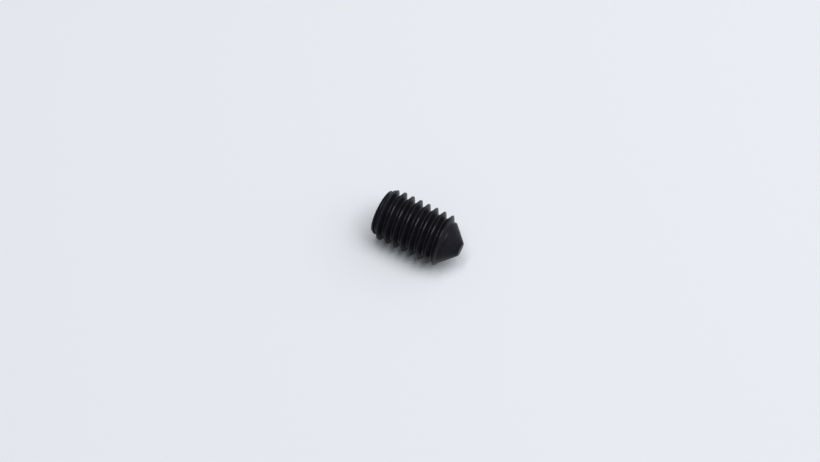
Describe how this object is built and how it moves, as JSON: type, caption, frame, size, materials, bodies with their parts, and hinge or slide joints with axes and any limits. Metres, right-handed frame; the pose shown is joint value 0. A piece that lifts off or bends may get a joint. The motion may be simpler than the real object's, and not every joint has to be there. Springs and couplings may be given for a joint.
{
  "type": "grub set screw",
  "caption": "Headless steel set screw with a full-length right-hand thread, a hex socket in one end and a truncated cone point on the other, in black oxide.",
  "frame": {"origin": "middle of the flat socket end, on which the screw stands", "axes": "+Z along the screw's axis, from the socket end to the cone's tip"},
  "size_m": [0.0049, 0.0048, 0.008],
  "materials": {
    "black_oxide_steel": "black oxide with a thin film of oil, dark satin sheen on rolled flanks"
  },
  "bodies": {
    "root": {"set_screw": "black_oxide_steel"}
  },
  "joints": []
}
